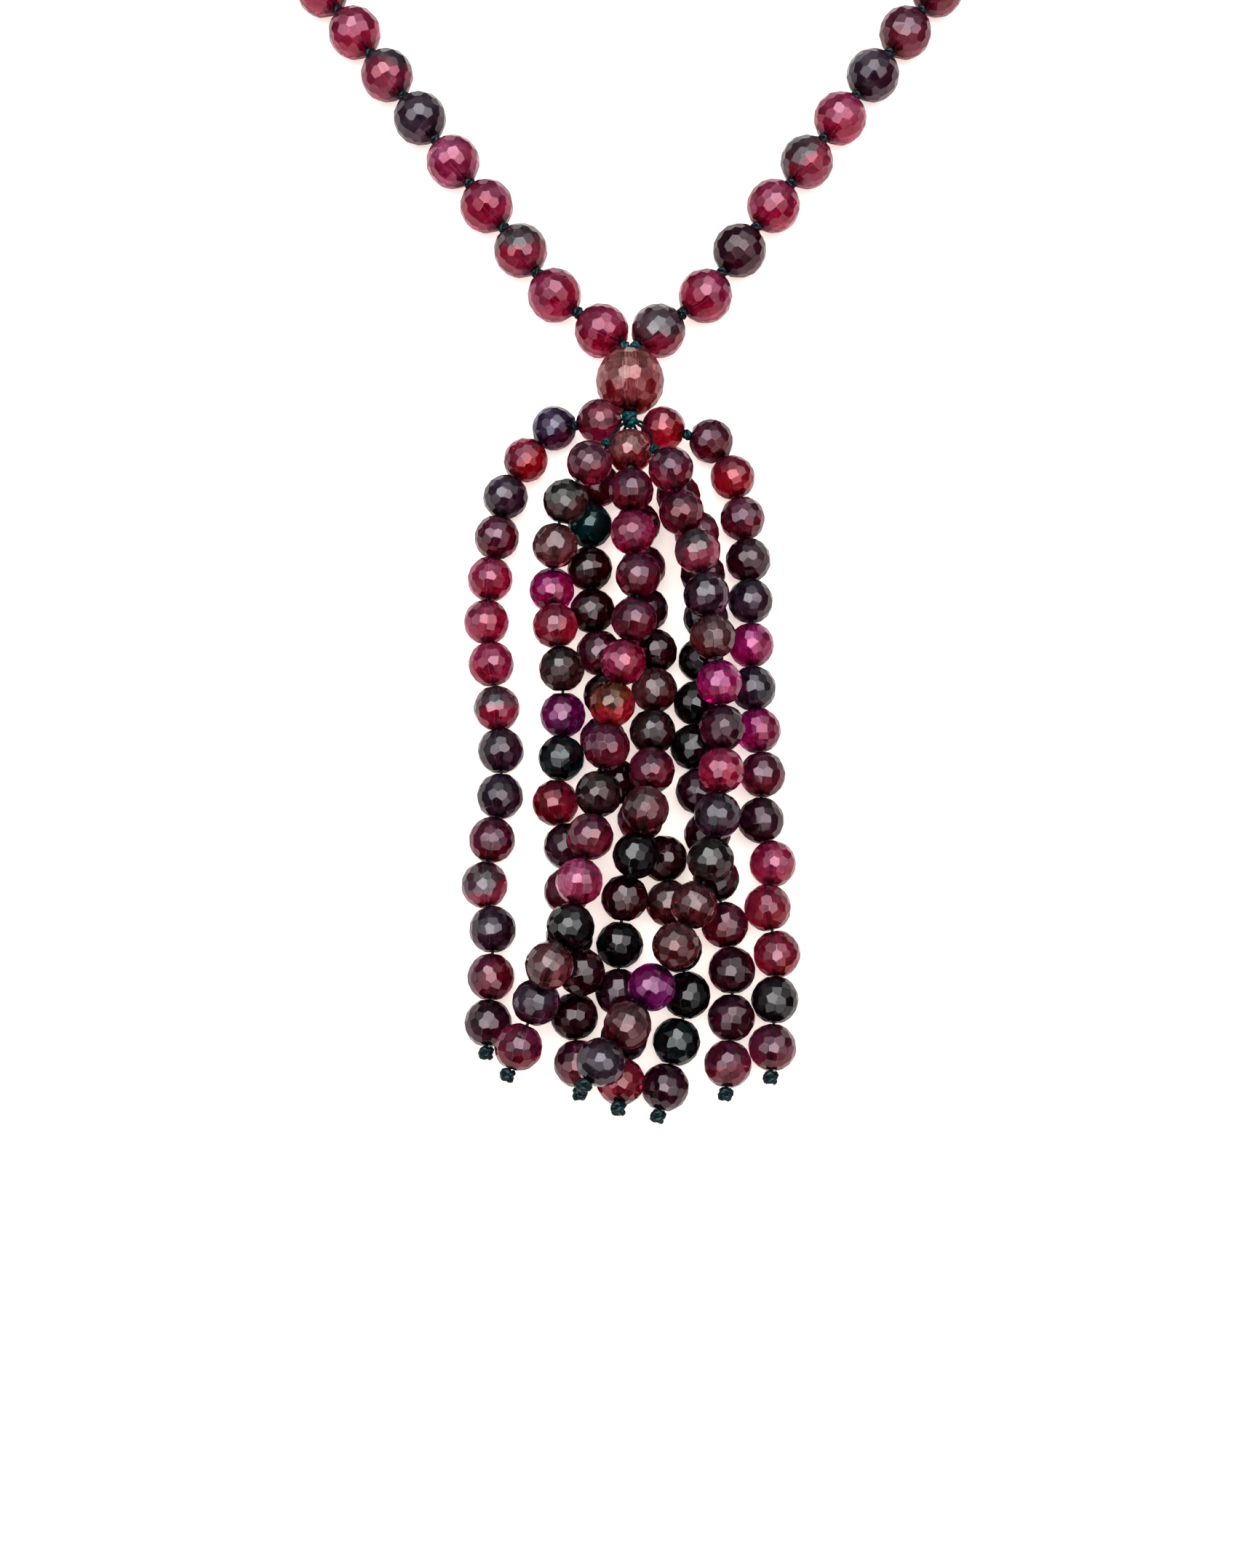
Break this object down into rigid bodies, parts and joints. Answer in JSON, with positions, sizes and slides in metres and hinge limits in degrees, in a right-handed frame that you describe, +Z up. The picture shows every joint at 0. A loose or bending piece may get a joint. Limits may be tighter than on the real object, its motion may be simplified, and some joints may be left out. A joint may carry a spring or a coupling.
{
  "type": "tassel necklace",
  "caption": "Long knotted necklace of faceted dark red and slate stone beads, with a large bead and a tassel of bead strands, lying flat.",
  "frame": {"origin": "on the surface it lies on, under the middle of the whole outline", "axes": "+Y from the tassel to the back of the neck loop, +Z up from the surface, +X to the right seen from above"},
  "size_m": [0.2348, 0.4515, 0.0183],
  "materials": {
    "large_stone": "polished, faceted",
    "neck_stone": "polished, faceted",
    "tassel_stone": "polished, faceted",
    "thread": "waxed, twisted"
  },
  "bodies": {
    "root": {"large_bead": "large_stone", "neck_beads_left": "neck_stone", "neck_beads_right": "neck_stone", "neck_thread": "thread", "centre_knot": "thread", "tassel_beads_a": "tassel_stone", "tassel_beads_b": "tassel_stone", "tassel_beads_c": "tassel_stone", "tassel_beads_d": "tassel_stone", "tassel_beads_e": "tassel_stone", "tassel_beads_f": "tassel_stone", "tassel_beads_g": "tassel_stone", "tassel_beads_h": "tassel_stone", "tassel_thread_a": "thread", "tassel_thread_b": "thread", "tassel_thread_c": "thread", "tassel_thread_d": "thread", "tassel_thread_e": "thread", "tassel_thread_f": "thread", "tassel_thread_g": "thread", "tassel_thread_h": "thread"}
  },
  "joints": []
}
